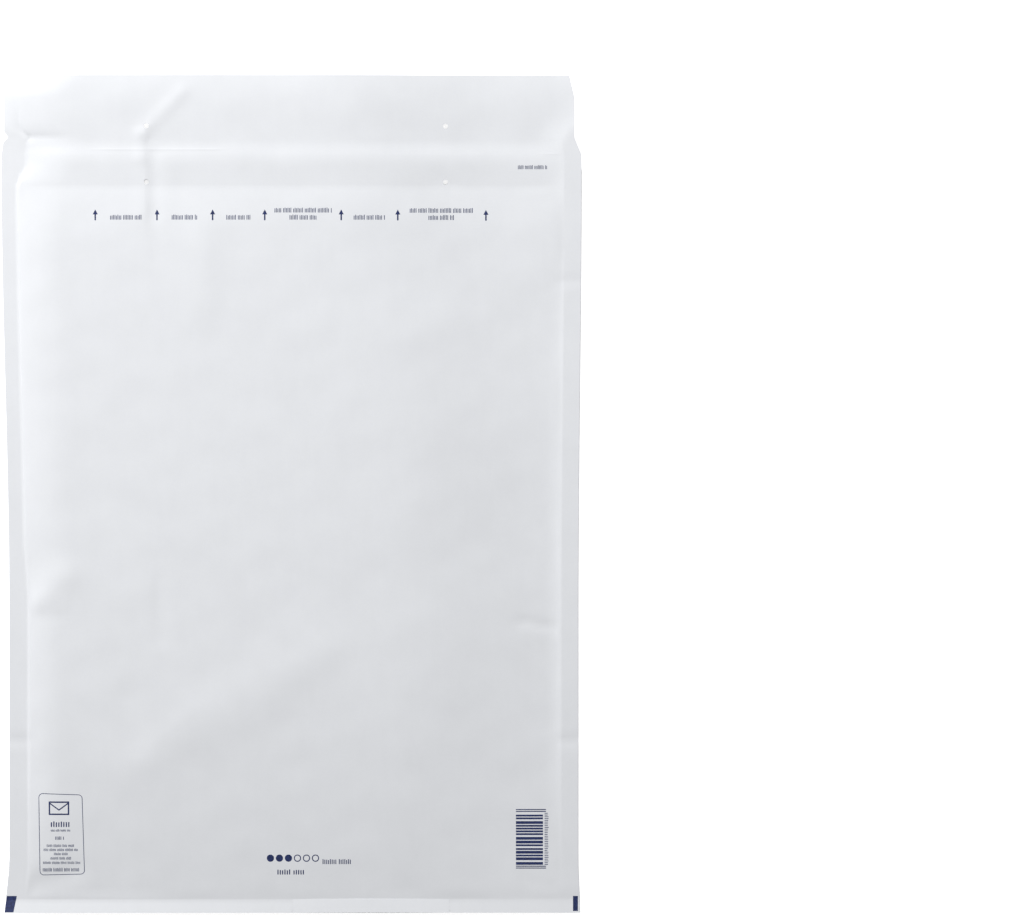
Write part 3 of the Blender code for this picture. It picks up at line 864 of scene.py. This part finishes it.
def bubble_tree(material):
    """Node tree that sets one domed bubble on each seat."""
    tree = bpy.data.node_groups.new("bubble_rows", "GeometryNodeTree")
    tree.is_modifier = True
    inputs = {"Seats": "Geometry", "Bubble Diameter": "Float", "Fullness": "Float", "Segments": "Int"}
    for name, kind in inputs.items():
        tree.interface.new_socket(name=name, in_out="INPUT", socket_type="NodeSocket" + kind)
    tree.interface.new_socket(name="Bubbles", in_out="OUTPUT", socket_type="NodeSocketGeometry")
    bench = NodeBench(tree)
    given = bench.add("NodeGroupInput").outputs
    sizes = {"Segments": given["Segments"], "Rings": BUBBLE_RINGS, "Radius": 0.5}
    ball = bench.add("GeometryNodeMeshUVSphere", **sizes).outputs["Mesh"]
    place = bench.add("GeometryNodeInputPosition").outputs[0]
    split = bench.add("ShaderNodeSeparateXYZ", Vector=place).outputs
    height = bench.math("MULTIPLY", bench.math("MAXIMUM", split["Z"], 0.0), 2.0)
    swell = bench.math("ADD", bench.math("MULTIPLY", height, given["Fullness"]), 1.0)
    wide, deep = (bench.math("MULTIPLY", split[axis], swell) for axis in "XY")
    dome = bench.join(X=wide, Y=deep, Z=height)
    shaped = bench.add("GeometryNodeSetPosition", Geometry=ball, Position=dome)
    rise, turn = (
        bench.add("GeometryNodeInputNamedAttribute", {"data_type": "FLOAT"}, Name=name).outputs["Attribute"]
        for name in ("rise", "turn")
    )
    width = given["Bubble Diameter"]
    placed = bench.add(
        "GeometryNodeInstanceOnPoints", Points=given["Seats"], Instance=shaped.outputs[0],
        Rotation=bench.join(X=turn), Scale=bench.join(X=width, Y=width, Z=rise),
    )
    real = bench.add("GeometryNodeRealizeInstances", Geometry=placed.outputs[0])
    painted = bench.add("GeometryNodeSetMaterial", Geometry=real.outputs[0], Material=material)
    result = bench.add("NodeGroupOutput")
    tree.links.new(painted.outputs[0], result.inputs[0])
    return tree


def bubble_film():
    """Clear soft film with a faint haze."""
    settings = bpy.context.scene.envelope_film
    material = shader_material("clear_bubble_film", settings.film_colour, FILM_ROUGHNESS)
    bench = NodeBench(material.node_tree)
    bench.shade("Transmission Weight", FILM_CLEARNESS)
    haze = bench.noise(bench.place(), *HAZE)
    bench.shade("Roughness", bench.ranged(haze, NOISE_LOW, NOISE_HIGH, *FILM_POLISH))
    bench.shade("Normal", bench.bump(haze, *HAZE_BUMP))
    return material


class ENVELOPE_OT_bubble_bag(bpy.types.Operator):
    """Make the bag of bubble film that lines the envelope"""

    bl_idname = "envelope.bubble_bag"
    bl_label = "Bubble Bag"

    def execute(self, context):
        settings = context.scene.envelope_film
        material = bubble_film()
        film = self.film(settings)
        film.data.materials.append(material)
        bubbles = self.bubbles(settings, material)
        bm = bmesh.new()
        bm.from_mesh(film.data)
        bm.from_mesh(bubbles.data)
        bm.to_mesh(film.data)
        bm.free()
        bpy.data.objects.remove(bubbles)
        round_off(film.data)
        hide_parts("bubble_liner")
        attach(film, "root")
        return {"FINISHED"}

    @staticmethod
    def film(settings):
        sides = crowded(-FILM_HALF, BACK_BEVEL) + crowded(FILM_HALF, -BACK_BEVEL)
        columns = filled(set(sides), FILM_STEP)
        rows = filled(set(crowded(FILM_FOOT_Y, BACK_BEVEL) + [LINER_Y]), FILM_STEP)
        heights = [(lambda x, y: film_faces(x, y)[0], y) for y in reversed(rows)]
        heights += [(lambda x, y: film_faces(x, y)[1], y) for y in rows]
        faces = skin_faces(len(columns), 2 * len(rows)) + closed_sides(len(columns), rows, rows)
        piece = mesh_object("bubble_film_bag", skin_points(columns, heights), faces)
        return thickened(piece, settings.film_thickness)

    @staticmethod
    def bubbles(settings, material):
        seats = bubble_seats(settings)
        piece = mesh_object("bubbles", [seat[:3] for seat in seats], [])
        for name, column in (("rise", 3), ("turn", 4)):
            values = piece.data.attributes.new(name, "FLOAT", "POINT")
            values.data.foreach_set("value", [seat[column] for seat in seats])
        rows = piece.modifiers.new("bubble_rows", "NODES")
        rows.node_group = bubble_tree(material)
        given = {"Fullness": BUBBLE_FULLNESS, "Segments": BUBBLE_SIDES}
        given["Bubble Diameter"] = settings.bubble_diameter
        for item in rows.node_group.interface.items_tree:
            if item.in_out == "INPUT" and item.name in given:
                rows[item.identifier] = given[item.name]
        return made_plain(piece)


class ENVELOPE_OT_flap_strips(bpy.types.Operator):
    """Make the glue band and the release strip under the flap"""

    bl_idname = "envelope.flap_strips"
    bl_label = "Flap Strips"

    def execute(self, context):
        settings = context.scene.envelope_strips
        glue = shader_material("self_seal_glue", settings.glue_colour, GLUE_ROUGHNESS)
        release = shader_material("release_paper", settings.release_colour, RELEASE_ROUGHNESS)
        cover = ("release_strip_sheet", release, RELEASE_Y, RELEASE_WIDTH, RELEASE_THICKNESS)
        band = ("glue_band", glue, GLUE_Y, GLUE_WIDTH, GLUE_THICKNESS)
        self.strip(*band, CLEARANCE, GLUE_END_MARGIN, "adhesive_strip", "glue")
        depth = 2 * CLEARANCE + GLUE_THICKNESS
        self.strip(*cover, depth, RELEASE_END_MARGIN, "release_strip", "release_paper")
        return {"FINISHED"}

    @staticmethod
    def strip(name, material, start, width, thickness, depth, margin, node, slot):
        end = HALF_WIDTH - margin
        columns = filled({-end, end}, PAPER_STEP)
        rows = filled({start, start + width}, PAPER_STEP)
        piece = slab_object(
            name, columns, rows,
            lambda x, y: front_height(x, y) - PAPER - depth,
            lambda x, y: front_height(x, y) - PAPER - depth - thickness,
        )
        piece.data.materials.append(material)
        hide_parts(node)
        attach(piece, "root")


# Printed marks, in millimetres on the front panel
ARROWS = (-123.7, -84.7, -49.5, -16.6, 31.7, 67.4, 123.1)
ARROW_FOOT, ARROW_BARB, ARROW_TIP = 173.0, 176.7, 179.8
ARROW_HALF, SHAFT_HALF = 1.6, 0.46
# Rows of short strokes: left, right, foot, top, stroke width
STROKE_ROWS = (
    (-114.2, -94.0, 173.4, 176.5, 0.44), (-75.3, -58.9, 173.4, 176.5, 0.44),
    (-40.8, -25.3, 173.4, 176.5, 0.44), (-10.4, 26.1, 177.9, 181.0, 0.44),
    (-0.9, 16.1, 173.4, 176.5, 0.44), (39.6, 59.8, 173.4, 176.5, 0.44),
    (75.0, 114.9, 177.9, 181.0, 0.44), (86.8, 103.5, 173.4, 176.5, 0.44),
    (143.4, 161.7, 205.6, 208.2, 0.36), (-152.0, -140.0, -210.5, -206.9, 0.75),
    (-152.0, -139.6, -213.4, -212.0, 0.25), (-149.2, -143.2, -218.6, -216.4, 0.40),
    (-154.6, -137.0, -223.2, -221.5, 0.30), (-156.6, -134.9, -225.8, -224.1, 0.30),
    (-150.0, -141.0, -228.4, -226.8, 0.30), (-152.2, -139.4, -231.2, -229.5, 0.30),
    (-157.0, -133.6, -234.0, -232.4, 0.30), (-157.2, -134.0, -238.8, -236.4, 0.36),
    (-8.8, 8.2, -240.7, -237.5, 0.70), (19.8, 39.2, -234.1, -230.9, 0.55),
)
LABEL_FRAME = ((-159.8, -189.2), (-131.9, -189.9), (-130.7, -240.7), (-159.2, -241.2))
LABEL_RADIUS, LABEL_LINE = 2.6, 0.38
# The drawn letter: middle, width, height, line, and how far its flap dips below the middle
LETTER = (-146.8, -198.6, 13.0, 8.6, 0.9)
LETTER_DIP = 0.08
DOTS = (-13.2, -7.5, -1.8, 3.9, 9.6, 15.3)
FULL_DOTS, DOT_Y, DOT_RADIUS, DOT_HOLE = 3, -230.3, 2.3, 1.7
# Rows of strokes: strokes in a group, lean, pitch in a group and between groups in stroke widths
GROUP_SIZES = (5, 9)
STROKE_LEAN = 0.22
STROKE_PITCH, GROUP_PITCH = 2.1, 4.0
# The block of bars: left, right, right end of the longer bars, foot, top, and how many modules high
BAR_BLOCK = (142.1, 159.2, 161.1, -237.0, -199.4)
BAR_MODULES = 64
# In modules: the longer bars from the foot (0) and the top (1), room at the ends, bar and gap widths
GUARDS = ((0, 0), (0, 2), (1, -3), (1, -1))
BAR_ROOM, BAR_END = 4, 7
BAR_WIDTHS, GAP_WIDTHS = (1, 4), (1, 3)
# The column of short strokes beside the bars: pitch and height in modules, start and ends
SIDE_PITCH, SIDE_HEIGHT = 1.9, 0.7
SIDE_START, SIDE_ENDS = 1.0, (2.8, 3.6)
CORNER_MARKS = (
    ((-180.1, -254.4), (-173.8, -254.4), (-175.7, -264.5), (-181.3, -264.5)),
    ((178.2, -254.4), (181.3, -254.4), (181.3, -263.8), (178.2, -263.8)),
)
INK_RISE = 0.00004
INK_DEPTH = 0.00004
INK_STEP = 3.0
DOT_SIDES = 20
CORNER_STATIONS = 5


class InkPlates:
    """Collects thin plates of ink that follow the front panel."""

    def __init__(self):
        self.points = []
        self.faces = []

    def plate(self, loop):
        """A plate over one small closed outline, counter-clockwise."""
        start = len(self.points)
        count = len(loop)
        for lift in (INK_RISE, -INK_DEPTH):
            self.points += [self.on_paper(x, y, lift) for x, y in loop]
        top = range(start, start + count)
        self.faces.append(tuple(top))
        self.faces.append(tuple(v + count for v in reversed(top)))
        for k in range(count):
            after = (k + 1) % count
            self.faces.append((start + k, start + k + count, start + after + count, start + after))

    def patch(self, a, b, c, d):
        """A plate over four corners, counter-clockwise, in cells no longer than INK_STEP."""
        a, b, c, d = (np.array(p, float) for p in (a, b, c, d))
        cells = max(1, math.ceil(max(np.hypot(*(b - a)), np.hypot(*(c - d))) / INK_STEP))
        rows = max(1, math.ceil(max(np.hypot(*(d - a)), np.hypot(*(c - b))) / INK_STEP))
        start = len(self.points)
        for lift in (INK_RISE, -INK_DEPTH):
            for j in range(rows + 1):
                low = a + (d - a) * j / rows
                high = b + (c - b) * j / rows
                for i in range(cells + 1):
                    x, y = low + (high - low) * i / cells
                    self.points.append(self.on_paper(x, y, lift))
        self.faces += [tuple(start + v for v in face) for face in slab_faces(cells + 1, rows + 1)]

    def bar(self, left, right, foot, top):
        self.patch((left, foot), (right, foot), (right, top), (left, top))

    def ring(self, outer, inner):
        """A closed ribbon between two outlines with the same number of points."""
        for k in range(len(outer)):
            after = (k + 1) % len(outer)
            self.patch(outer[k], outer[after], inner[after], inner[k])

    @staticmethod
    def on_paper(x, y, lift):
        return (x * MM, y * MM, float(front_height(x * MM, y * MM)) + lift)


def dot_outline(x, radius):
    turns = [2 * math.pi * k / DOT_SIDES for k in range(DOT_SIDES)]
    return [(x + radius * math.cos(t), DOT_Y + radius * math.sin(t)) for t in turns]


def rounded_outline(corners, radius, inset):
    """Counter-clockwise outline of a four-cornered frame with rounded corners."""
    middle = np.mean(corners, axis=0)
    points = []
    for k, turn in ((3, math.pi), (2, 1.5 * math.pi), (1, 0.0), (0, 0.5 * math.pi)):
        corner = np.array(corners[k])
        inwards = np.sign(middle - corner)
        centre = corner + inwards * radius
        for step in range(CORNER_STATIONS + 1):
            angle = turn + math.pi / 2 * step / CORNER_STATIONS
            points.append(tuple(centre + (radius - inset) * np.array([math.cos(angle), math.sin(angle)])))
    return points


class ENVELOPE_OT_printed_marks(bpy.types.Operator):
    """Print the arrows, stroke rows, label frame, bar block and corner marks"""

    bl_idname = "envelope.printed_marks"
    bl_label = "Printed Marks"

    def execute(self, context):
        ink = InkPlates()
        random = np.random.default_rng(context.scene.envelope_stage.seed)
        for x in ARROWS:
            ink.bar(x - SHAFT_HALF, x + SHAFT_HALF, ARROW_FOOT, ARROW_BARB)
            ink.plate([(x - ARROW_HALF, ARROW_BARB), (x + ARROW_HALF, ARROW_BARB), (x, ARROW_TIP)])
        for row in STROKE_ROWS:
            self.strokes(ink, random, *row)
        ink.ring(*(rounded_outline(LABEL_FRAME, LABEL_RADIUS, inset) for inset in (0.0, LABEL_LINE)))
        self.letter_sign(ink, *LETTER)
        for k, x in enumerate(DOTS):
            if k < FULL_DOTS:
                ink.plate(dot_outline(x, DOT_RADIUS))
            else:
                ink.ring(dot_outline(x, DOT_RADIUS), dot_outline(x, DOT_HOLE))
        self.bar_block(ink, random)
        for corners in CORNER_MARKS:
            ink.patch(*reversed(corners))
        piece = mesh_object("printed_marks", ink.points, ink.faces)
        piece.data.materials.append(navy_ink())
        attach(piece, "root")
        return {"FINISHED"}

    @staticmethod
    def strokes(ink, random, left, right, foot, top, width):
        """A row of short upright strokes in groups, which only fills the place of a line of small print."""
        x = left
        group = int(random.integers(*GROUP_SIZES))
        while x < right - width:
            lean = (top - foot) * random.uniform(0.0, STROKE_LEAN)
            ink.bar(x, x + width, foot, top - lean)
            group -= 1
            x += width * (STROKE_PITCH if group else GROUP_PITCH)
            if not group:
                group = int(random.integers(*GROUP_SIZES))

    @staticmethod
    def letter_sign(ink, x, y, width, height, line):
        """Plain outline of a closed letter."""
        left, right, foot, top = x - width / 2, x + width / 2, y - height / 2, y + height / 2
        outer = [(left, foot), (right, foot), (right, top), (left, top)]
        left, right, foot, top = left + line, right - line, foot + line, top - line
        ink.ring(outer, [(left, foot), (right, foot), (right, top), (left, top)])
        dip = y - height * LETTER_DIP
        ink.patch((left, top - line), (x, dip - line), (x, dip), (left, top))
        ink.patch((x, dip - line), (right, top - line), (right, top), (x, dip))

    @staticmethod
    def bar_block(ink, random):
        """A stack of bars of mixed width between longer ones, with a column of short strokes beside it."""
        left, right, guard, foot, top = BAR_BLOCK
        module = (top - foot) / BAR_MODULES
        for end, place in GUARDS:
            y = (foot, top)[end] + place * module
            ink.bar(left, guard, y, y + module)
        y = foot + BAR_ROOM * module
        while y < top - BAR_END * module:
            bar = module * int(random.integers(*BAR_WIDTHS))
            ink.bar(left, right, y, y + bar)
            y += bar + module * int(random.integers(*GAP_WIDTHS))
        for y in np.arange(foot + BAR_ROOM * module, top - BAR_ROOM * module, SIDE_PITCH * module):
            ink.bar(right + SIDE_START, right + random.uniform(*SIDE_ENDS), y, y + SIDE_HEIGHT * module)


def navy_ink():
    """Flexographic ink with slightly uneven cover."""
    settings = bpy.context.scene.envelope_paper
    material = shader_material("navy_ink", settings.ink_colour, *INK_SURFACE)
    bench = NodeBench(material.node_tree)
    bench.tint(settings.ink_colour, bench.ranged(bench.noise(bench.place(), *INK_GRAIN), *INK_COVER))
    return material


class ENVELOPE_OT_stage(bpy.types.Operator):
    """Make the floor, the lights and the camera"""

    bl_idname = "envelope.stage"
    bl_label = "Stage"

    def execute(self, context):
        self.floor()
        self.lights(context.scene.envelope_stage)
        self.camera(context.scene)
        return {"FINISHED"}

    @staticmethod
    def floor():
        corners = ((-1, -1), (1, -1), (1, 1), (-1, 1))
        points = [(x * FLOOR_HALF, y * FLOOR_HALF, -FLOOR_DROP) for x, y in corners]
        floor = mesh_object("studio_floor", points, [(0, 1, 2, 3)])
        material = shader_material("white_floor", FLOOR_COLOUR, *FLOOR_SURFACE)
        bench = NodeBench(material.node_tree)
        seen = bench.add("ShaderNodeLightPath").outputs
        glow = bench.math("MAXIMUM", seen["Is Camera Ray"], seen["Is Glossy Ray"])
        glow = bench.math("MAXIMUM", glow, seen["Is Transmission Ray"])
        bench.shade("Emission Color", (1.0, 1.0, 1.0, 1.0))
        bench.shade("Emission Strength", bench.math("MULTIPLY", glow, FLOOR_GLOW))
        floor.data.materials.append(material)

    @staticmethod
    def lights(settings):
        key = ("key_light", *KEY_LIGHT, settings.key_power)
        fill = ("fill_light", *FILL_LIGHT, settings.fill_power)
        for name, place, size, power in (key, fill):
            light = bpy.data.lights.new(name, "AREA")
            light.shape = "SQUARE"
            light.size = size
            light.energy = power
            lamp = linked(name, light)
            lamp.location = place
            lamp.rotation_euler = (-Vector(place)).to_track_quat("-Z", "Y").to_euler()
        world = bpy.data.worlds.new("studio")
        world.use_nodes = True
        background = world.node_tree.nodes["Background"]
        background.inputs["Color"].default_value = (1.0, 1.0, 1.0, 1.0)
        background.inputs["Strength"].default_value = settings.surroundings
        bpy.context.scene.world = world

    @staticmethod
    def camera(scene):
        distance = scene.envelope_stage.camera_distance
        camera = bpy.data.cameras.new("camera")
        camera.sensor_width = SENSOR
        camera.lens = SENSOR * distance / VIEW_WIDTH
        camera.clip_end = VIEW_DEPTH
        scene.camera = linked("camera", camera)
        scene.camera.location = (CAMERA_X, CAMERA_Y, distance + SEAM_HEIGHT)
        scene.view_settings.view_transform = "Standard"


class ENVELOPE_PT_panel(bpy.types.Panel):
    bl_idname = "ENVELOPE_PT_panel"
    bl_label = "Padded Envelope"
    bl_space_type = "VIEW_3D"
    bl_region_type = "UI"
    bl_category = "Envelope"

    def draw(self, context):
        for group, operators in LAYOUT:
            box = self.layout.box()
            settings = getattr(context.scene, group)
            for name in settings.__annotations__:
                box.prop(settings, name)
            for operator in operators:
                box.operator(operator.bl_idname)


GROUPS = {
    "envelope_paper": PaperSettings,
    "envelope_film": FilmSettings,
    "envelope_strips": StripSettings,
    "envelope_stage": StageSettings,
}
LAYOUT = (
    ("envelope_paper", (ENVELOPE_OT_paper_web, ENVELOPE_OT_printed_marks)),
    ("envelope_film", (ENVELOPE_OT_bubble_bag,)),
    ("envelope_strips", (ENVELOPE_OT_flap_strips,)),
    ("envelope_stage", (ENVELOPE_OT_stage,)),
)
OPERATORS = tuple(operator for _, operators in LAYOUT for operator in operators)
CLASSES = (*GROUPS.values(), *OPERATORS, ENVELOPE_PT_panel)


def register():
    for cls in CLASSES:
        bpy.utils.register_class(cls)
    for name, group in GROUPS.items():
        setattr(bpy.types.Scene, name, PointerProperty(type=group))


def unregister():
    for name in GROUPS:
        delattr(bpy.types.Scene, name)
    for cls in reversed(CLASSES):
        bpy.utils.unregister_class(cls)


def main():
    register()
    bpy.ops.envelope.stage()
    bpy.ops.envelope.paper_web()
    bpy.ops.envelope.printed_marks()
    bpy.ops.envelope.bubble_bag()
    bpy.ops.envelope.flap_strips()


if __name__ == "__main__":
    main()
